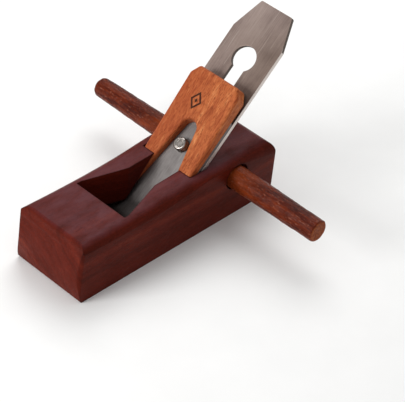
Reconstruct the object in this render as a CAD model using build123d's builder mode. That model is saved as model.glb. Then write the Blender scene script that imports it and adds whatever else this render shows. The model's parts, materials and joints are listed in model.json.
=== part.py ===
"""Small wooden smoothing plane with a cross handle.

The frame: the origin is the centre of the sole, +Z is up out of the sole, +X runs forward to the toe
and +Y is the left-hand side of the plane as it is pushed.  All sizes are in millimetres.
"""
import os
from math import asin, cos, exp, radians, sin, tan

from build123d import *

os.makedirs("parts", exist_ok=True)

# ---------------------------------------------------------------- driving dimensions
body_length = 182.8          # toe to heel, at the crown of the two ends
body_width = 60.0
crest_height = 46.5          # the top is hand shaped and highest just behind the throat
bed_angle = 44.0             # slope of the iron
edge_x = 23.4                # where the cutting edge meets the sole
iron_width = 44.0            # the standard plane iron
iron_thickness = 3.0
iron_length = 184.0
corner_radius = 2.2          # upright corners of the body
toe_corner_radius = 7.0      # those of the toe, pared away more and more toward the top
end_crown = 1.9              # the toe and heel are crowned: their middles stand out this far
rod_diameter = 17.6          # cross handle, where it passes through the body
rod_length = 209.0
screw_diameter = 9.6

# ---------------------------------------------------------------- fits
iron_side_play = 0.5         # iron to each cheek of the throat
bed_play = 0.05              # back of the iron to the bed
cap_play = 0.05              # cap iron to the face of the iron
wedge_play = 0.10            # wedge to the cap iron and to the abutments
rod_play = 0.05              # rod in its bore
thread_play = 0.05           # screw in the threaded hole of the cap iron
edge_setting = 0.3           # the edge is drawn back this far up the bed
mouth_gap = 2.0              # mouth in front of the cutting edge
fork_play = 1.4              # crown of the wedge's fork round the screw
keyhole_play = 0.7           # screw head in the keyhole of the iron
slot_play = 0.6              # screw in the slot of the iron
groove_play = 1.0            # screw head in its groove in the bed
wedge_side_play = 0.8        # wedge to each cheek of the throat

# ---------------------------------------------------------------- derived sizes
half_length = body_length / 2
half_width = body_width / 2
throat_half = iron_width / 2 + iron_side_play
up_x = -cos(radians(bed_angle))
up_z = sin(radians(bed_angle))
out_x = sin(radians(bed_angle))
out_z = cos(radians(bed_angle))


def on_bed(along, out):
    """Point in the side view: distance up the iron from its edge and distance out from its face."""
    return (edge_x + up_x * along + out_x * out, up_z * along + out_z * out)


def along_at(height, out, slope):
    """Distance up the iron at which a face starting at 'out' and opening with 'slope' has a height."""
    return (height - out_z * out) / (up_z + out_z * slope)


# the iron's own plane: local X runs up the iron, local Z points out of its face
iron_plane = Plane(origin=(edge_x, 0, 0), x_dir=(up_x, 0, up_z), z_dir=(out_x, 0, out_z))
side_plane = Plane.XZ
out_axis = Axis((0, 0, 0), (out_x, 0, out_z))

# ---------------------------------------------------------------- cap iron and wedge sizes
cap_thickness = 2.3
cap_width = iron_width - 0.4
cap_setback = 1.6            # front edge of the cap iron behind the cutting edge
cap_top = 106.0
cap_hump = 4.0               # height of the curved nose over the face of the iron
screw_along = 73.3           # the screw, up the iron from its edge
screw_stub = 7.8             # how far the end of the screw stands out from the face of the iron
screw_head_diameter = 17.0
screw_head_thickness = 3.4
slot_width = screw_diameter + 2 * slot_play
slot_bottom = 50.0
keyhole_along = 144.4
keyhole_diameter = screw_head_diameter + 2 * keyhole_play
shoulder_along = 160.5
iron_top_width = 27.4

wedge_back = cap_play + cap_thickness + wedge_play
wedge_tip = 26.0             # how far up the iron the two legs end
wedge_top = 124.6
wedge_slope = tan(radians(5.0))
wedge_tip_out = 4.6          # face of the legs over the face of the iron, at their tips
wedge_half = throat_half - wedge_side_play
fork_arc = screw_diameter / 2 + fork_play        # radius at the crown of the fork
fork_reach = 11.5            # centre of that crown, up from the screw
fork_along = screw_along + fork_reach
fork_flare = radians(9.0)
edge_round = 1.8             # hand softened front edges of the wedge


def wedge_face(along):
    """Distance of the wedge's front face from the face of the iron."""
    return wedge_tip_out + (along - wedge_tip) * wedge_slope


# ---------------------------------------------------------------- throat sizes
abutment_out = wedge_face(0) + wedge_play        # bearing face of the abutments, taken to the edge
mouth_front = edge_x + mouth_gap
throat_front_top = 47.0      # front corner of the throat at the top of the body
abutment_foot = 18.0         # below this height the abutments are pared away, clear of the cap iron
ear_half = 12.0              # half the gap between the two abutments
ear_front = 9.6
above = crest_height + 8.0   # cutters run out above the top
front_slope = (throat_front_top - mouth_front) / (crest_height - 2.0)
bed_out = -iron_thickness - bed_play


def bed_point(height):
    """Point of the bed at a height."""
    return on_bed(along_at(height, bed_out, 0.0), bed_out)


def abutment_point(height):
    """Point of the abutments' bearing face at a height."""
    along = along_at(height, abutment_out, wedge_slope)
    return on_bed(along, abutment_out + along * wedge_slope)


def front_point(height):
    """Point of the sloping front wall of the throat at a height."""
    return (mouth_front + front_slope * height, height)


groove_width = screw_head_diameter + 2 * groove_play
groove_depth = screw_head_thickness + 1.6 * groove_play
groove_bottom = 36.0         # lower end of the screw groove, up the bed from the mouth

# ---------------------------------------------------------------- cross handle sizes
rod_x = -51.3
rod_below = 14.1             # axis of the rod, below the crest of the body
rod_z = crest_height - rod_below
rod_near_end = 16.6          # diameter at the left-hand end, nearly square across
rod_far_end = 15.2           # diameter at the right-hand end, well rounded over
rod_near_round = 1.5
rod_far_round = 3.4
rod_straight = half_width + 4.0
recess_radius = rod_diameter / 2 + 0.6           # worn mouth of the bore, wider toward the heel
recess_shift = 1.6
recess_depth = 5.0

# ---------------------------------------------------------------- body
# the top is highest over the front of the iron's bed, and falls away most at the heel
section_count = 11
toe_foot = half_length - end_crown               # ends of the level sole
heel_foot = half_length - 0.8 * end_crown
end_shoulder = crest_height - 10.0               # where the ends start to round over into the top


def top_height(t):
    """Height of the top along the middle, t = -1 at the heel and 1 at the toe."""
    return crest_height - 2.5 + 2.5 * exp(-(((t + 0.35) / 0.45) ** 2))


def side_drop(t):
    """How far the crowned top falls from its flat middle to the arris above each side."""
    crest = 2.9 * exp(-(((t + 0.38) / 0.33) ** 2))
    heel = 4.2 * exp(-(((t + 1.05) / 0.30) ** 2))
    toe = 1.6 * exp(-(((t - 1.05) / 0.30) ** 2))
    return 5.8 - crest + heel - toe


with BuildPart() as body:
    # hand shaped block: flat sides, a crowned top that falls away to each side
    for i in range(section_count):
        t = 1.05 * (2 * i / (section_count - 1) - 1)
        x = t * half_length
        top = top_height(t)
        drop = side_drop(t)
        arris = top - drop
        run = 4.8 + 0.58 * drop
        flat = half_width - run
        radius = (run * run + drop * drop) / (2 * drop)
        turn = asin(run / radius) / 2
        mid_y = flat + radius * sin(turn)
        mid_z = top - radius * (1 - cos(turn))
        with BuildSketch(Plane.YZ.offset(x)):
            with BuildLine():
                Line((-half_width, -3), (half_width, -3))
                Line((half_width, -3), (half_width, arris))
                ThreePointArc((half_width, arris), (mid_y, mid_z), (flat, top))
                Line((flat, top), (-flat, top))
                ThreePointArc((-flat, top), (-mid_y, mid_z), (-half_width, arris))
                Line((-half_width, arris), (-half_width, -3))
            make_face()
    loft()

    # side outline: level sole, rounded toe and heel
    with BuildSketch(side_plane):
        with BuildLine():
            Polyline((-heel_foot + 1.2, 0), (toe_foot - 1.3, 0), (toe_foot, 1.3))
            ThreePointArc((toe_foot, 1.3), (half_length, 19), (half_length - 1.7, end_shoulder))
            ThreePointArc(
                (half_length - 1.7, end_shoulder),
                (half_length - 3.7, crest_height - 4.4),
                (half_length - 7.4, crest_height - 2.3),
            )
            Line((half_length - 7.4, crest_height - 2.3), (half_length - 12.0, crest_height + 1.0))
            Line((half_length - 12.0, crest_height + 1.0), (-half_length + 13.0, crest_height + 1.0))
            Line((-half_length + 13.0, crest_height + 1.0), (-half_length + 9.0, crest_height - 2.0))
            ThreePointArc(
                (-half_length + 9.0, crest_height - 2.0),
                (-half_length + 3.9, crest_height - 5.0),
                (-half_length + 1.2, end_shoulder),
            )
            ThreePointArc((-half_length + 1.2, end_shoulder), (-half_length, 21), (-heel_foot, 1.2))
            Line((-heel_foot, 1.2), (-heel_foot + 1.2, 0))
        make_face()
    extrude(amount=half_width + 5, both=True, mode=Mode.INTERSECT)

    # plan outline: the four upright corners are rounded, those of the toe more at the top
    for height, toe_radius in ((0, corner_radius), (above, toe_corner_radius)):
        with BuildSketch(Plane.XY.offset(height)) as outline:
            Rectangle(body_length + 0.4, body_width + 0.4)
            fillet(outline.vertices().group_by(Axis.X)[0], radius=corner_radius)
            fillet(outline.vertices().group_by(Axis.X)[-1], radius=toe_radius)
    loft(ruled=True, mode=Mode.INTERSECT)

    # slot for the iron and wedge, the full width of the throat, with the mouth below it
    with BuildSketch(side_plane):
        with BuildLine():
            Polyline(
                bed_point(-4.0),
                (mouth_front, -4.0),
                front_point(0.0),
                front_point(abutment_foot),
                abutment_point(abutment_foot),
                abutment_point(above),
                bed_point(above),
                close=True,
            )
        make_face()
    extrude(amount=throat_half, both=True, mode=Mode.SUBTRACT)

    # groove down the middle of the bed for the head of the cap iron's screw
    with BuildSketch(iron_plane.offset(bed_out - groove_depth)):
        with Locations((groove_bottom + 60.0, 0)):
            SlotOverall(120.0, groove_width)
    extrude(amount=groove_depth + 1.0, mode=Mode.SUBTRACT)

    # bore for the cross handle, with a worn mouth on each side
    with BuildSketch(side_plane):
        with Locations((rod_x, rod_z)):
            Circle(rod_diameter / 2 + rod_play)
    extrude(amount=half_width + 5, both=True, mode=Mode.SUBTRACT)
    for side in (-1, 1):
        with BuildSketch(Plane.XZ.offset(side * (half_width - recess_depth))):
            with Locations((rod_x - recess_shift / 2, rod_z - 0.2)):
                SlotOverall(2 * recess_radius + recess_shift, 2 * recess_radius)
        extrude(amount=side * (recess_depth + 5), mode=Mode.SUBTRACT)

# the open throat in front of the wedge: flares from the gap between the abutments to full width
with BuildPart() as throat_cut:
    with BuildSketch(side_plane):
        with BuildLine():
            Polyline(
                abutment_point(abutment_foot - 4.0),
                front_point(abutment_foot - 4.0),
                front_point(above),
                abutment_point(above),
                close=True,
            )
        make_face()
    extrude(amount=throat_half, both=True)
    with BuildSketch():
        with BuildLine():
            Polyline(
                (-60, ear_half),
                (ear_front, ear_half),
                (throat_front_top - 4.0, throat_half - 0.05),
                (throat_front_top + 20.0, throat_half + 5.0),
                (throat_front_top + 20.0, -throat_half - 5.0),
                (throat_front_top - 4.0, -throat_half + 0.05),
                (ear_front, -ear_half),
                (-60, -ear_half),
                close=True,
            )
        make_face()
    extrude(amount=above + 5, mode=Mode.INTERSECT)

with BuildPart() as stock:
    add(body.part)
    add(throat_cut.part, mode=Mode.SUBTRACT)
stock.part.label = "stock"
export_step(stock.part, "parts/stock.step")

# ---------------------------------------------------------------- cross handle
with BuildPart() as cross_handle:
    # turned rod: parallel in the body, tapering a little toward each end
    with BuildSketch(Plane.YZ.offset(rod_x)):
        with BuildLine():
            Polyline(
                (-rod_length / 2, rod_z),
                (rod_length / 2, rod_z),
                (rod_length / 2, rod_z + rod_near_end / 2),
                (rod_straight, rod_z + rod_diameter / 2),
                (-rod_straight, rod_z + rod_diameter / 2),
                (-rod_length / 2, rod_z + rod_far_end / 2),
                close=True,
            )
        make_face()
    revolve(axis=Axis((rod_x, 0, rod_z), (0, 1, 0)))
    fillet(cross_handle.edges().group_by(Axis.Y)[-1], radius=rod_near_round)
    fillet(cross_handle.edges().group_by(Axis.Y)[0], radius=rod_far_round)
cross_handle.part.label = "cross_handle"
export_step(cross_handle.part, "parts/cross_handle.step")

# ---------------------------------------------------------------- plane iron
with BuildPart() as plane_iron:
    with BuildSketch(iron_plane.offset(-iron_thickness)):
        with BuildLine():
            Polyline(
                (edge_setting, -iron_width / 2),
                (shoulder_along, -iron_width / 2),
                (iron_length, -iron_top_width / 2),
                (iron_length, iron_top_width / 2),
                (shoulder_along, iron_width / 2),
                (edge_setting, iron_width / 2),
                close=True,
            )
        make_face()
        with Locations((keyhole_along, 0)):
            Circle(keyhole_diameter / 2, mode=Mode.SUBTRACT)
        with Locations(((keyhole_along + slot_bottom) / 2, 0)):
            SlotOverall(keyhole_along - slot_bottom, slot_width, mode=Mode.SUBTRACT)
    extrude(amount=iron_thickness)
    # ground bevel on the back of the edge
    with BuildSketch(Plane.XZ):
        with BuildLine():
            Polyline(
                on_bed(edge_setting - 0.02, -0.15),
                on_bed(edge_setting + iron_thickness / tan(radians(28)), -iron_thickness - 0.02),
                on_bed(edge_setting - 3.0, -iron_thickness - 3.0),
                close=True,
            )
        make_face()
    extrude(amount=iron_width, both=True, mode=Mode.SUBTRACT)
    # softened head of the iron
    head_corners = plane_iron.edges().filter_by(out_axis).filter_by(
        lambda e: e.center().Z > up_z * (shoulder_along - 4)
    )
    fillet(head_corners, radius=1.2)
plane_iron.part.label = "plane_iron"
export_step(plane_iron.part, "parts/plane_iron.step")

# ---------------------------------------------------------------- cap iron
with BuildPart() as cap_iron:
    # side profile: curved nose that touches the iron behind its edge, then a flat leaf
    with BuildSketch(Plane.XZ):
        with BuildLine():
            Polyline(
                on_bed(cap_top, cap_play),
                on_bed(cap_top, cap_play + cap_thickness),
                on_bed(23.5, cap_play + cap_thickness),
            )
            Spline(
                on_bed(23.5, cap_play + cap_thickness),
                on_bed(15.5, cap_hump - 0.25),
                on_bed(9.0, cap_hump - 0.5),
                on_bed(cap_setback + edge_setting, cap_play),
                tangents=((-up_x, -up_z), (-up_x * 0.5 - out_x * 0.87, -up_z * 0.5 - out_z * 0.87)),
            )
            Line(on_bed(cap_setback + edge_setting, cap_play), on_bed(4.2, cap_play))
            Spline(
                on_bed(4.2, cap_play),
                on_bed(12.0, 1.35),
                on_bed(24.0, cap_play),
            )
            Line(on_bed(24.0, cap_play), on_bed(cap_top, cap_play))
        make_face()
    extrude(amount=cap_width / 2, both=True)
    # threaded hole for the screw
    with BuildSketch(iron_plane):
        with Locations((screw_along, 0)):
            Circle(screw_diameter / 2 + thread_play)
    extrude(amount=20, both=True, mode=Mode.SUBTRACT)
    # rounded shoulders at the top of the leaf
    fillet(
        cap_iron.edges().filter_by(out_axis).filter_by(
            lambda e: e.center().Z > up_z * (cap_top - 4)
        ),
        radius=5.0,
    )
cap_iron.part.label = "cap_iron"
export_step(cap_iron.part, "parts/cap_iron.step")

# ---------------------------------------------------------------- screw
with BuildPart() as cap_screw:
    head_top = -iron_thickness - bed_play
    with BuildSketch(iron_plane.offset(head_top - screw_head_thickness)):
        with Locations((screw_along, 0)):
            Circle(screw_head_diameter / 2)
    extrude(amount=screw_head_thickness)
    chamfer(cap_screw.edges().group_by(out_axis)[0], length=0.6)
    with BuildSketch(iron_plane.offset(head_top)):
        with Locations((screw_along, 0)):
            Circle(screw_diameter / 2)
    extrude(amount=screw_stub - head_top)
    fillet(cap_screw.edges().group_by(out_axis)[-1], radius=1.5)
    # slot across the head
    with BuildSketch(iron_plane.offset(head_top - screw_head_thickness)):
        with Locations((screw_along, 0)):
            Rectangle(1.6, screw_head_diameter + 2)
    extrude(amount=1.5, mode=Mode.SUBTRACT)
cap_screw.part.label = "cap_screw"
export_step(cap_screw.part, "parts/cap_screw.step")

# ---------------------------------------------------------------- wedge
with BuildPart() as wedge:
    # side profile: thin at the two legs, thick at the top
    with BuildSketch(Plane.XZ):
        with BuildLine():
            Polyline(
                on_bed(wedge_tip, wedge_back),
                on_bed(wedge_top, wedge_back),
                on_bed(wedge_top, wedge_face(wedge_top)),
                on_bed(wedge_tip, wedge_face(wedge_tip)),
                close=True,
            )
        make_face()
    extrude(amount=wedge_half, both=True)
    # fork that straddles the screw: rounded crown, flared sides
    side_start = (fork_along + fork_arc * sin(fork_flare), fork_arc * cos(fork_flare))
    side_end = wedge_tip - 5
    end_half = side_start[1] + (side_start[0] - side_end) * tan(fork_flare)
    with BuildSketch(iron_plane.offset(-5)):
        with BuildLine():
            ThreePointArc(side_start, (fork_along + fork_arc, 0), (side_start[0], -side_start[1]))
            Polyline(
                (side_start[0], -side_start[1]),
                (side_end, -end_half),
                (side_end, end_half),
                side_start,
            )
        make_face()
    extrude(amount=40, mode=Mode.SUBTRACT)
    # cut corners at the top
    with BuildSketch(iron_plane.offset(-5)):
        for side in (-1, 1):
            with BuildLine():
                Polyline(
                    (wedge_top + 1, side * (wedge_half - 4.4)),
                    (wedge_top + 1, side * (wedge_half + 1)),
                    (wedge_top - 7.0, side * (wedge_half + 1)),
                    (wedge_top - 7.0, side * wedge_half),
                    (wedge_top, side * (wedge_half - 4.4)),
                    close=True,
                )
            make_face()
    extrude(amount=40, mode=Mode.SUBTRACT)
    corners = wedge.edges().filter_by(out_axis).filter_by(
        lambda e: e.center().Z > up_z * (wedge_top - 12)
    )
    fillet(corners, radius=3.0)
    # broken front edges, all but the thin tips of the legs
    front = wedge.faces().filter_by(lambda f: f.normal_at().dot(Vector(out_x, 0, out_z)) > 0.9)
    broken = front.sort_by(out_axis)[-1].edges().filter_by(
        lambda e: e.center().Z > up_z * (wedge_tip + 6)
    )
    fillet(broken, radius=edge_round)
wedge.part.label = "wedge"
export_step(wedge.part, "parts/wedge.step")
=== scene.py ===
import json
from math import cos, pi, radians, sin

import bpy
import numpy as np
from mathutils import Matrix, Vector


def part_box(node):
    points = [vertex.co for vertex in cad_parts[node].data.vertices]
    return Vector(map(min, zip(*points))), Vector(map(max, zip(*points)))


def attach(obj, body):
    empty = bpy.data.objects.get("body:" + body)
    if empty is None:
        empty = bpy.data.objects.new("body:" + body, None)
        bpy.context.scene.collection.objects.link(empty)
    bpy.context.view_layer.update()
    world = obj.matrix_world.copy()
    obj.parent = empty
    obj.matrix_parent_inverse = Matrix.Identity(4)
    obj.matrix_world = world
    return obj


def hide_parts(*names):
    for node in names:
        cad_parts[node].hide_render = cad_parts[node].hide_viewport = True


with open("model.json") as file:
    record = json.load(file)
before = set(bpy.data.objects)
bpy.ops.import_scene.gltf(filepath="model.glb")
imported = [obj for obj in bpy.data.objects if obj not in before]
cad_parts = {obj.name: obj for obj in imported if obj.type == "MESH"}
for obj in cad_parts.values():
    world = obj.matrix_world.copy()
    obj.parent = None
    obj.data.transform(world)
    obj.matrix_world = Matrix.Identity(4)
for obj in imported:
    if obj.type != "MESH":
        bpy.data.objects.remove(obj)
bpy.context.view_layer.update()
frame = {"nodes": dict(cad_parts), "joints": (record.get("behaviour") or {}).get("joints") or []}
MM = 0.001
joints = {joint["name"]: joint for joint in frame["joints"]}

# the bed: 'up' runs up the iron, 'out' stands out of its face
up = Vector(joints["iron_slide"]["axis"])
out = Vector((up.z, 0.0, -up.x))
BED_ANGLE = radians(44.0)
BED_TURN = (0.0, -BED_ANGLE, 0.0)          # turns the bed level: X then runs down the iron
EDGE_X = 23.4                              # millimetres, where the cutting edge meets the sole
EDGE_ALONG = EDGE_X * cos(BED_ANGLE)       # the edge and the iron's face in the turned coordinates
FACE_OUT = EDGE_X * sin(BED_ANGLE)
IRON_HALF = 22.0                           # half the width of the iron
ROD_HALF = 104.5                           # half the length of the cross handle


# ---------------------------------------------------------------- colour and node helpers
def linear(code):
    """sRGB hex value as linear RGBA."""
    value = np.array([int(code[i:i + 2], 16) for i in (1, 3, 5)]) / 255.0
    value = np.where(value <= 0.04045, value / 12.92, ((value + 0.055) / 1.055) ** 2.4)
    return (*[float(v) for v in value], 1.0)


def add_node(tree, kind, inputs=(), output=0, stops=(), **settings):
    """Add a node with its settings and links.  Inputs are given in socket order, or as a dict by name
    or number; each is a value, or an output socket to link from.  Stops are the (position, hex) pairs
    of a ramp.  Gives back the output socket that is asked for."""
    node = tree.nodes.new("ShaderNode" + kind)
    for key, value in settings.items():
        setattr(node, key, value)
    for key, value in inputs.items() if isinstance(inputs, dict) else enumerate(inputs):
        if isinstance(value, bpy.types.NodeSocket):
            tree.links.new(value, node.inputs[key])
        else:
            node.inputs[key].default_value = value
    for number, (position, code) in enumerate(stops):
        elements = node.color_ramp.elements
        element = elements[number] if number < 2 else elements.new(position)
        element.position = position
        element.color = linear(code)
    return node.outputs[output]


def new_material(name, **constants):
    """A Principled material; constants are set on the shader's own sockets."""
    material = bpy.data.materials.new(name)
    material.use_nodes = True
    tree = material.node_tree
    shader = tree.nodes["Principled BSDF"]
    for key, value in constants.items():
        shader.inputs[key.replace("_", " ")].default_value = value
    return material, tree, shader


def in_mm(tree, turn=(0, 0, 0), shift=(0, 0, 0)):
    """Object coordinates in millimetres, turned so that X runs along the grain: whole, and by axis."""
    place = add_node(tree, "TexCoord", output="Object")
    place = add_node(
        tree, "Mapping", {"Vector": place, "Scale": (1 / MM,) * 3, "Rotation": turn, "Location": shift}
    )
    return place, add_node(tree, "SeparateXYZ", (place,)).node.outputs


def drawn_out(tree, place, stretch, width_mm, detail=3.0, rough=0.6, seed=0.0):
    """Noise 'width_mm' across the grain and 'stretch' times as long along it."""
    longer = add_node(
        tree, "Mapping", {"Vector": place, "Scale": (1 / stretch, 1, 1), "Location": (seed, seed, seed)}
    )
    return add_node(
        tree, "TexNoise", {"Vector": longer, "Scale": 1 / width_mm, "Detail": detail, "Roughness": rough}
    )


def dress(tree, shader, colour, gloss, height, bump_mm, edge_mm=0.0):
    """Link colour and roughness, and a bump of so many millimetres over slightly softened edges."""
    tree.links.new(colour, shader.inputs["Base Color"])
    tree.links.new(gloss, shader.inputs["Roughness"])
    inputs = {"Strength": 1.0, "Distance": bump_mm * MM, "Height": height}
    if edge_mm:
        inputs["Normal"] = add_node(tree, "Bevel", {"Radius": edge_mm * MM}, samples=6)
    tree.links.new(add_node(tree, "Bump", inputs), shader.inputs["Normal"])


def near_edge(tree, width_mm, share):
    """Mask of a narrow band along sharp edges: there a rounded normal leans away from the true one."""
    rounded = add_node(tree, "Bevel", {"Radius": width_mm * MM}, samples=6)
    true = add_node(tree, "NewGeometry", output="Normal")
    lean = add_node(tree, "VectorMath", (rounded, true), "Value", operation="DOT_PRODUCT")
    return add_node(tree, "MapRange", (lean, 0.99, 0.88, 0, share))


# ---------------------------------------------------------------- woods
def oiled_rosewood():
    """Dark rosewood planed by hand and oiled.  The growth rings are cylinders about a pith below the
    far side of the block, so they show as arcs on the ends and as long streaks on the sides; open
    pores show as fine dark dashes, edges are darker, the oil gives a soft, uneven gloss, and a
    painted lilac sheen lies in patches on the faces that lie upward."""
    material, tree, shader = new_material("oiled_rosewood", IOR=1.46, Specular_IOR_Level=0.05)
    below, beside = 28, 37         # the pith, in millimetres under the sole and beyond the middle
    place, _ = in_mm(tree, shift=(0, beside, below))
    wander = drawn_out(tree, place, 6, 22, 3)
    across = add_node(tree, "VectorMath", (place, (0, 1, 1)), operation="MULTIPLY")
    radius = add_node(tree, "VectorMath", (across,), "Value", operation="LENGTH")
    wavy = add_node(tree, "Math", (wander, 14.0, radius), operation="MULTIPLY_ADD")
    rings = add_node(
        tree, "TexNoise", {"W": wavy, "Scale": 1 / 7.0, "Detail": 4.0, "Roughness": 0.62},
        noise_dimensions="1D",
    )
    # fibres and pores are really about 0.2 mm wide, drawn coarser so that they show
    fibres = drawn_out(tree, place, 26, 0.9, 3, 0.7)
    pores = drawn_out(tree, place, 9, 0.6, 2, 0.6, 31)
    pores = add_node(tree, "MapRange", (pores, 0.58, 0.70, 0, 0.5))
    mottle = drawn_out(tree, place, 2.2, 13, 4, 0.6, 7)
    speckle = drawn_out(tree, place, 2.5, 0.9, 2, 0.6, 13)
    figure = add_node(tree, "Mix", {0: 0.30, 2: rings, 3: fibres})
    figure = add_node(tree, "Mix", {0: 0.35, 2: figure, 3: mottle})
    figure = add_node(tree, "Mix", {0: 0.25, 2: figure, 3: speckle})
    stops = [(0.36, "#42130a"), (0.46, "#50180e"), (0.56, "#5c1d12"), (0.68, "#722c19")]
    colour = add_node(tree, "ValToRGB", (figure,), stops=stops)
    colour = add_node(tree, "Mix", {0: pores, 6: colour, 7: linear("#2a0e0a")}, 2, data_type="RGBA")
    # a faint lilac sheen is painted, in patches, on the faces that lie upward: a painted reflection
    facing = add_node(tree, "NewGeometry", output="Normal")
    level = add_node(tree, "SeparateXYZ", (facing,), "Z")
    upward = add_node(tree, "MapRange", (level, 0.75, 0.99, 0, 1))
    patches = add_node(tree, "MapRange", (mottle, 0.35, 0.62, 0.15, 0.6))
    painted_lilac_sheen = add_node(tree, "Math", (upward, patches), operation="MULTIPLY")
    colour = add_node(tree, "Mix", {0: painted_lilac_sheen, 6: colour, 7: linear("#5a343b")}, 2, data_type="RGBA")
    # darker in a narrow band along sharp edges and in creases
    edge_darkening = near_edge(tree, 1.6, 0.6)
    colour = add_node(tree, "Mix", {0: edge_darkening, 6: colour, 7: linear("#26100d")}, 2, data_type="RGBA")
    gloss = add_node(tree, "MapRange", (mottle, 0.35, 0.65, 0.48, 0.32))
    height = add_node(tree, "Math", (mottle, 6.0), operation="MULTIPLY")
    height = add_node(tree, "Math", (height, pores), operation="SUBTRACT")
    dress(tree, shader, colour, gloss, height, 0.12, 0.9)
    return material


def scraped_rosewood():
    """Rosewood rod, scraped round by hand and darkened by palms: short dark and red streaks along its
    length, redder by the block where hands do not reach, pale painted highlights on the ridges of the
    scraping, and paler, duller end grain."""
    material, tree, shader = new_material("scraped_rosewood", IOR=1.46, Specular_IOR_Level=0.09)
    place, parts = in_mm(tree, turn=(0, 0, radians(90)))
    streaks = drawn_out(tree, place, 9, 2.2, 4, 0.65)
    fibres = drawn_out(tree, place, 5, 0.9, 3, 0.7, 5)
    cloud = drawn_out(tree, place, 3, 9, 3, 0.55, 9)
    figure = add_node(tree, "Mix", {0: 0.40, 2: streaks, 3: fibres})
    figure = add_node(tree, "Mix", {0: 0.35, 2: figure, 3: cloud})
    stops = [(0.36, "#2b0b06"), (0.46, "#4a170a"), (0.55, "#63240f"), (0.68, "#873a1b")]
    colour = add_node(tree, "ValToRGB", (figure,), stops=stops)
    reach = add_node(tree, "Math", (parts["X"],), operation="ABSOLUTE")
    clean = add_node(tree, "MapRange", (reach, 36, 60, 0.6, 0))
    clean = add_node(tree, "Math", (clean, cloud), operation="MULTIPLY")
    colour = add_node(tree, "Mix", {0: clean, 6: colour, 7: linear("#9a4519")}, 2, data_type="RGBA")
    # pale painted highlights, flecked along the ridges of the scraping
    painted_glints = drawn_out(tree, place, 3.2, 1.2, 2, 0.6, 23)
    painted_glints = add_node(tree, "MapRange", (painted_glints, 0.60, 0.72, 0, 0.45))
    colour = add_node(tree, "Mix", {0: painted_glints, 6: colour, 7: linear("#a66a55")}, 2, data_type="RGBA")
    end_grain = add_node(tree, "MapRange", (reach, ROD_HALF - 0.5, ROD_HALF - 0.2, 0, 0.85))
    sawn = add_node(tree, "ValToRGB", (fibres,), stops=[(0.4, "#6f3016"), (0.6, "#9c542c")])
    colour = add_node(tree, "Mix", {0: end_grain, 6: colour, 7: sawn}, 2, data_type="RGBA")
    gloss = add_node(tree, "MapRange", (streaks, 0.35, 0.65, 0.40, 0.22))
    gloss = add_node(tree, "Math", (end_grain, 0.3, gloss), operation="MULTIPLY_ADD")
    height = add_node(tree, "Mix", {0: 0.5, 2: fibres, 3: streaks})
    dress(tree, shader, colour, gloss, height, 0.7)
    return material


def oiled_padauk():
    """Orange-brown hardwood, sawn and rubbed down: narrow darker streaks along the wedge, a short
    interlocked figure, and grime in the pores.  A small branded lozenge is burned into the face."""
    material, tree, shader = new_material("oiled_padauk", IOR=1.48, Specular_IOR_Level=0.1)
    place, parts = in_mm(tree, turn=BED_TURN)
    bands = drawn_out(tree, place, 5, 6.0, 3, 0.55)
    streaks = drawn_out(tree, place, 7, 1.3, 3, 0.65, 3)
    flecks = drawn_out(tree, place, 5, 0.75, 2, 0.6, 17)
    flecks = add_node(tree, "MapRange", (flecks, 0.54, 0.66, 0, 0.7))
    figure = add_node(tree, "Mix", {0: 0.5, 2: bands, 3: streaks})
    stops = [(0.36, "#8a3f1f"), (0.46, "#a5552f"), (0.55, "#b46337"), (0.67, "#ce8453")]
    colour = add_node(tree, "ValToRGB", (figure,), stops=stops)
    colour = add_node(tree, "Mix", {0: flecks, 6: colour, 7: linear("#78351a")}, 2, data_type="RGBA")
    redder = add_node(tree, "MapRange", (parts["Y"], -2, -20, 0, 1))
    redder = add_node(tree, "Math", (redder, bands), operation="MULTIPLY")
    colour = add_node(tree, "Mix", {0: redder, 6: colour, 7: linear("#933f20")}, 2, data_type="RGBA")
    # darker in a narrow band along sharp edges and in creases
    edge_darkening = near_edge(tree, 1.4, 0.45)
    colour = add_node(tree, "Mix", {0: edge_darkening, 6: colour, 7: linear("#7a3a1e")}, 2, data_type="RGBA")
    burn = lozenge(tree, parts)
    colour = add_node(tree, "Mix", {0: burn, 6: colour, 7: linear("#1c0f0a")}, 2, data_type="RGBA")
    gloss = add_node(tree, "MapRange", (figure, 0.35, 0.65, 0.55, 0.42))
    height = add_node(tree, "Math", (figure, flecks), operation="SUBTRACT")
    height = add_node(tree, "Math", (height, burn), operation="SUBTRACT")
    dress(tree, shader, colour, gloss, height, 0.15, 0.6)
    return material


def lozenge(tree, parts):
    """Mask of a burned lozenge on the wedge's face: its outline is where the distances along and
    across the grain from its centre, each over its half length, add up to one."""
    half_along, half_across = 6.5, 4.6
    along_at, across_at = EDGE_ALONG - 103.0, -5.5
    along = add_node(tree, "MapRange", (parts["X"], along_at, along_at + half_along, 0, 1), clamp=False)
    across = add_node(tree, "MapRange", (parts["Y"], across_at, across_at + half_across, 0, 1), clamp=False)
    along = add_node(tree, "Math", (along,), operation="ABSOLUTE")
    across = add_node(tree, "Math", (across,), operation="ABSOLUTE")
    total = add_node(tree, "Math", (along, across), operation="ADD")
    from_line = add_node(tree, "Math", (total, 0.85), operation="SUBTRACT")
    from_line = add_node(tree, "Math", (from_line,), operation="ABSOLUTE")
    outline = add_node(tree, "MapRange", (from_line, 0.12, 0.22, 0.92, 0))
    dot = add_node(tree, "MapRange", (total, 0.20, 0.34, 0.92, 0))
    mark = add_node(tree, "Math", (outline, dot), operation="MAXIMUM")
    on_face = add_node(tree, "MapRange", (parts["Z"], FACE_OUT + 8, FACE_OUT + 9, 0, 1))
    return add_node(tree, "Math", (mark, on_face), operation="MULTIPLY")


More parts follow.
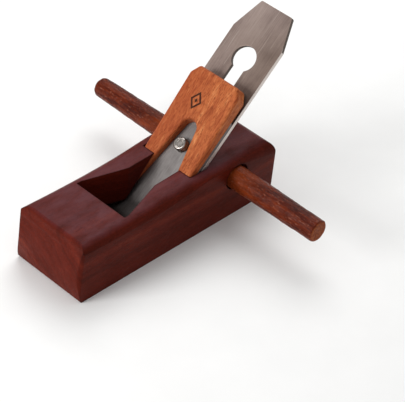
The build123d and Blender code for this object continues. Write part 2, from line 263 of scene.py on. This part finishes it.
# ---------------------------------------------------------------- metals
def ground_tool_steel():
    """Tool steel, surface ground along its length, its gloss dulled by handling: faint lines one way,
    a few brighter scratches, a cloudy, warm grey tone, painted shade over all but the top end and
    more towards the near side, long sides and their arrises painted bright as a painted reflection,
    and painted shade on the walls in the keyhole and round the head."""
    material, tree, shader = new_material("ground_tool_steel", Metallic=1.0)
    place, parts = in_mm(tree, turn=BED_TURN)
    lines = drawn_out(tree, place, 40, 0.7, 3, 0.7)
    cloud = drawn_out(tree, place, 1.6, 16, 4, 0.6, 3)
    scratches = drawn_out(tree, place, 30, 0.9, 1, 0.5, 41)
    scratches = add_node(tree, "MapRange", (scratches, 0.66, 0.72, 0, 0.35))
    tone = add_node(tree, "Mix", {0: 0.62, 2: lines, 3: cloud})
    # painted shade: darker below the top end of the iron, and more so towards its near side
    painted_shade_below_top = add_node(tree, "MapRange", (parts["X"], EDGE_ALONG - 180, EDGE_ALONG - 155, 0, 0.45))
    painted_shade_near_side = add_node(tree, "MapRange", (parts["Y"], -16, 18, 0, 0.55))
    painted_shade_iron = add_node(tree, "Math", (painted_shade_below_top, painted_shade_near_side), operation="ADD")
    colour = add_node(tree, "ValToRGB", (tone,), stops=[(0.38, "#92817b"), (0.62, "#b8a59d")])
    darker = add_node(tree, "ValToRGB", (tone,), stops=[(0.38, "#72625a"), (0.62, "#907e74")])
    colour = add_node(tree, "Mix", {0: painted_shade_iron, 6: colour, 7: darker}, 2, data_type="RGBA")
    colour = add_node(tree, "Mix", {0: scratches, 6: colour, 7: linear("#c4b8ae")}, 2, data_type="RGBA")
    sides = add_node(tree, "Math", (parts["Y"],), operation="ABSOLUTE")
    # painted shade on the walls that stand across the face: in the keyhole and round the head
    facing = add_node(tree, "TexCoord", output="Normal")
    facing = add_node(tree, "VectorMath", (facing, out), "Value", operation="DOT_PRODUCT")
    facing = add_node(tree, "Math", (facing,), operation="ABSOLUTE")
    painted_wall_shade = add_node(tree, "MapRange", (facing, 0.3, 0.6, 0.8, 0))
    colour = add_node(tree, "Mix", {0: painted_wall_shade, 6: colour, 7: linear("#40362f")}, 2, data_type="RGBA")
    # painted reflection: the long sides and the arrises beside them are painted bright
    painted_side_reflection = add_node(tree, "MapRange", (sides, IRON_HALF - 0.2, IRON_HALF - 0.05, 0, 0.9))
    painted_arris_reflection = add_node(tree, "MapRange", (sides, IRON_HALF - 1.5, IRON_HALF - 1, 0, 1))
    painted_arris_reflection = add_node(tree, "Math", (painted_arris_reflection, near_edge(tree, 0.6, 0.7)), operation="MULTIPLY")
    painted_reflection_mask = add_node(tree, "Math", (painted_side_reflection, painted_arris_reflection), operation="MAXIMUM")
    colour = add_node(tree, "Mix", {0: painted_reflection_mask, 6: colour, 7: linear("#dcd2cc")}, 2, data_type="RGBA")
    gloss = add_node(tree, "MapRange", (tone, 0.35, 0.65, 0.52, 0.40))
    dress(tree, shader, colour, gloss, lines, 0.03, 0.35)
    return material


def filed_cap_steel():
    """Mild steel cap iron, filed and rubbed with emery: cooler and duller than the iron."""
    material, tree, shader = new_material("filed_cap_steel", Metallic=1.0)
    place, _ = in_mm(tree, turn=BED_TURN)
    lines = drawn_out(tree, place, 18, 0.8, 3, 0.7, 11)
    cloud = drawn_out(tree, place, 1.4, 9, 4, 0.6, 5)
    tone = add_node(tree, "Mix", {0: 0.5, 2: lines, 3: cloud})
    colour = add_node(tree, "ValToRGB", (tone,), stops=[(0.35, "#6d6866"), (0.65, "#8b8684")])
    gloss = add_node(tree, "MapRange", (tone, 0.35, 0.65, 0.55, 0.42))
    dress(tree, shader, colour, gloss, lines, 0.04, 0.35)
    return material


def zinc_plated_steel():
    """Turned screw, zinc plated: bright and slightly clouded, like a spangle worn by the driver."""
    material, tree, shader = new_material("zinc_plated_steel", Metallic=1.0)
    place, _ = in_mm(tree, turn=BED_TURN)
    cloud = drawn_out(tree, place, 1, 2.2, 4, 0.65)
    colour = add_node(tree, "ValToRGB", (cloud,), stops=[(0.38, "#706a65"), (0.62, "#bbb4ae")])
    gloss = add_node(tree, "MapRange", (cloud, 0.35, 0.65, 0.40, 0.24))
    dress(tree, shader, colour, gloss, cloud, 0.05)
    return material


# ---------------------------------------------------------------- new surfaces
def lattice(u, v, wrap, seed):
    """Smooth random heights from -1 to 1: random values on a unit lattice, blended with a smooth
    step.  The pattern closes on itself after 'wrap' cells of v."""
    table = np.random.default_rng(seed).uniform(-1, 1, (128, wrap))
    i, j = np.floor(u).astype(int), np.floor(v).astype(int)
    a, b = u - i, v - j
    a, b = a * a * (3 - 2 * a), b * b * (3 - 2 * b)
    i, j, next_i, next_j = i % 128, j % wrap, (i + 1) % 128, (j + 1) % wrap
    low = table[i, j] * (1 - b) + table[i, next_j] * b
    high = table[next_i, j] * (1 - b) + table[next_i, next_j] * b
    return low * (1 - a) + high * a


def shell(name, grid, material, body, node, crease=35):
    """Closed mesh from a grid of points, rows by columns: columns wrap round, and the first and last
    rows each close in one pole."""
    rows, columns = grid.shape[:2]
    points = np.vstack([grid[1:-1].reshape(-1, 3), grid[0, :1], grid[-1, :1]])
    index = np.arange((rows - 2) * columns).reshape(rows - 2, columns)
    beside = np.roll(index, -1, axis=1)
    first_pole, last_pole = len(points) - 2, len(points) - 1
    quads = np.stack([index[:-1], beside[:-1], beside[1:], index[1:]], axis=-1).reshape(-1, 4)
    first_fan = np.stack([np.full(columns, first_pole), beside[0], index[0]], axis=-1)
    last_fan = np.stack([index[-1], beside[-1], np.full(columns, last_pole)], axis=-1)
    mesh = bpy.data.meshes.new(name)
    mesh.from_pydata(points.tolist(), [], quads.tolist() + first_fan.tolist() + last_fan.tolist())
    mesh.shade_smooth()
    mesh.set_sharp_from_angle(angle=radians(crease))
    mesh.materials.append(material)
    piece = bpy.data.objects.new(name, mesh)
    bpy.context.scene.collection.objects.link(piece)
    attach(piece, body)
    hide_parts(node)
    return piece


def line(start, stop, step):
    """Points in a straight line from start to stop, about 'step' apart, without the last."""
    start, stop = np.array(start), np.array(stop)
    pieces = int(round(np.linalg.norm(stop - start) / step))
    return start + (stop - start) * (np.arange(pieces) / pieces)[:, None]


def scraped_rod():
    """Cross handle, turned about Y.  Its radius follows a profile of points (along, radius): flat end,
    quarter-round corner, taper, parallel middle, taper, corner, flat end.  Gouges are taken off it:
    lattice noise of four widths, drawn out along the rod, fading to none at the middle of the ends."""
    low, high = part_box("cross_handle")
    centre = (low + high) / 2 / MM
    half = (high.y - low.y) / 2 / MM
    middle = (high.x - low.x) / 2 / MM         # radius of the parallel middle, in the body
    straight = 34.0                            # where the tapers start
    far_end, far_round = 7.6, 3.4              # radius at the tip, and of its rounded corner
    near_end, near_round = 8.3, 1.5
    fine, coarse, end_step = 0.5, 4.0, 0.6     # spacing of the points
    far_taper = far_end + (middle - far_end) * far_round / (half - straight)
    near_taper = near_end + (middle - near_end) * near_round / (half - straight)
    corner = np.linspace(0, pi / 2, 9)[:-1]
    swell, fall = np.sin(corner), 1 - np.cos(corner)
    profile = np.concatenate([
        line((-half, 0), (-half, far_end - far_round), end_step),
        np.stack([-half + far_round * fall, far_taper - far_round + far_round * swell], axis=1),
        line((far_round - half, far_taper), (-straight, middle), fine),
        line((-straight, middle), (straight, middle), coarse),
        line((straight, middle), (half - near_round, near_taper), fine),
        np.stack([half - near_round + near_round * swell, near_taper - near_round * fall], axis=1),
        line((half, near_taper - near_round), (half, 0), end_step),
        [(half, 0)],
    ])
    along, radius = profile.T
    y, turn = np.meshgrid(along, np.arange(160) / 160, indexing="ij")
    broad_facets = lattice(y / 12, turn * 9, 9, 4)
    narrow_facets = lattice(y / 5 + turn * 2, turn * 18, 18, 5)
    gouges = np.abs(lattice(y / 2.8 + turn, turn * 26, 26, 6))
    torn_fibres = np.abs(lattice(y / 1.6, turn * 44, 44, 7))
    depth = 0.27 + 0.14 * broad_facets + 0.13 * narrow_facets + 0.22 * gouges + 0.10 * torn_fibres
    r = radius[:, None] - depth * np.clip(radius[:, None] / 4, 0, 1)
    angle = turn * 2 * pi
    grid = np.stack([centre.x + r * np.cos(angle), y, centre.z - r * np.sin(angle)], axis=-1)
    return shell("cross_handle_rod", grid * MM, scraped_rosewood(), "handle", "cross_handle")


def turned_screw():
    """Screw of the cap iron, turned about the line that stands out of the iron.  Its profile runs from
    the middle of the dished end over a rounded rim, down the stub, and round the head.  The stub's
    radius carries a right-hand thread: a triangle wave of the height plus one pitch for each turn.  A
    straight slot is sunk across the head, wherever a point lies within half its width of the middle."""
    pitch, thread_depth, thread_top, thread_foot = 1.25, 0.5, 6.4, -2.6
    slot_half, slot_floor, slot_edge = 0.8, -4.95, 0.15
    rings, sectors = 190, 128
    # height above the iron's face and radius, in millimetres
    corners = np.array([
        (7.2, 0), (7.25, 2.5), (7.6, 3.0), (7.8, 3.4), (7.7, 3.9), (7.3, 4.4), (6.7, 4.7), (thread_top, 4.78),
        (thread_foot, 4.78), (-3.05, 4.78), (-3.05, 8.2), (-3.3, 8.5), (-5.85, 8.5), (-6.45, 7.9), (-6.45, 0),
    ])
    lengths = np.append(0, np.cumsum(np.hypot(*np.diff(corners, axis=0).T)))
    stations = np.unique(np.concatenate([lengths, np.linspace(0, lengths[-1], rings)]))
    height = np.interp(stations, lengths, corners[:, 0])
    radius = np.interp(stations, lengths, corners[:, 1])
    h, turn = np.meshgrid(height, np.arange(sectors) / sectors, indexing="ij")
    threaded = np.clip((thread_top - h) / 0.8, 0, 1) * np.clip((h - thread_foot) / 0.5, 0, 1)
    wave = np.abs(2 * np.mod(h / pitch + turn, 1) - 1)
    r = radius[:, None] - threaded * thread_depth * wave
    along, across = r * np.cos(2 * pi * turn), r * np.sin(2 * pi * turn)
    in_slot = np.clip((slot_half + slot_edge - np.abs(along)) / (2 * slot_edge), 0, 1)
    sunk = 0.98 * in_slot * (h < slot_floor)       # the last part keeps the floor's faces apart
    h = h + sunk * (slot_floor - h)
    centre = np.array(joints["screw_turn"]["pos_m"]) / MM
    grid = centre + along[..., None] * np.array(up) + h[..., None] * np.array(out)
    grid[..., 1] += across
    return shell("cap_iron_screw", grid * MM, zinc_plated_steel(), "screw", "cap_screw")


def give(node, material):
    """Put a material on a CAD node's own slots."""
    piece = frame["nodes"][node]
    piece.data.materials.clear()
    piece.data.materials.append(material)


give("stock", oiled_rosewood())
give("wedge", oiled_padauk())
give("plane_iron", ground_tool_steel())
give("cap_iron", filed_cap_steel())
scraped_rod()
turned_screw()

# ---------------------------------------------------------------- floor, light, camera
scene = bpy.context.scene
scene.view_settings.view_transform = "Standard"


def studio_floor():
    """Wide sheet of pale paper, a hair's breadth under the sole."""
    material, tree, shader = new_material("pale_paper", Roughness=0.9)
    place, _ = in_mm(tree)
    mottle = drawn_out(tree, place, 1, 40, 3, 0.5)
    colour = add_node(tree, "ValToRGB", (mottle,), stops=[(0.3, "#f5f5f4"), (0.7, "#f8f8f7")])
    tree.links.new(colour, shader.inputs["Base Color"])
    half, z = 6.0, -0.1 * MM
    corners = [(-half, -half, z), (half, -half, z), (half, half, z), (-half, half, z)]
    mesh = bpy.data.meshes.new("floor")
    mesh.from_pydata(corners, [], [(0, 1, 2, 3)])
    mesh.materials.append(material)
    floor = bpy.data.objects.new("floor", mesh)
    scene.collection.objects.link(floor)


def softbox(name, direction, distance, width, power):
    """A square area light in a direction from the plane, turned to face it."""
    lamp = bpy.data.lights.new(name, "AREA")
    lamp.size = width
    lamp.energy = power
    holder = bpy.data.objects.new(name, lamp)
    towards = Vector(direction).normalized()
    holder.location = Vector((0, 0, 0.03)) + towards * distance
    holder.rotation_mode = "QUATERNION"
    holder.rotation_quaternion = (-towards).to_track_quat("-Z", "Y")
    scene.collection.objects.link(holder)


studio_floor()
world = bpy.data.worlds.new("studio")
scene.world = world
world.use_nodes = True
world.node_tree.nodes["Background"].inputs["Color"].default_value = linear("#ffffff")
world.node_tree.nodes["Background"].inputs["Strength"].default_value = 0.5
softbox("toe_light", (0.85, -0.25, 0.35), 1.2, 0.5, 10)
softbox("top_light", (-0.45, -0.40, 0.80), 1.2, 0.9, 8)

camera = bpy.data.objects.new("camera", bpy.data.cameras.new("camera"))
scene.collection.objects.link(camera)
scene.camera = camera
azimuth, elevation, roll = radians(130.276), radians(38.966), radians(6.475)
aim, distance = Vector((-7.95, 39.53, 40.0)) * MM, 1171.6 * MM
back = Vector((sin(azimuth) * cos(elevation), -cos(azimuth) * cos(elevation), sin(elevation)))
camera.location = aim + back * distance
camera.rotation_mode = "QUATERNION"
camera.rotation_quaternion = (-back).to_track_quat("-Z", "Y") @ Matrix.Rotation(roll, 4, "Z").to_quaternion()
camera.data.lens = 159.2
camera.data.sensor_width = 36.0
camera.data.clip_start = 0.05
camera.data.clip_end = 50.0
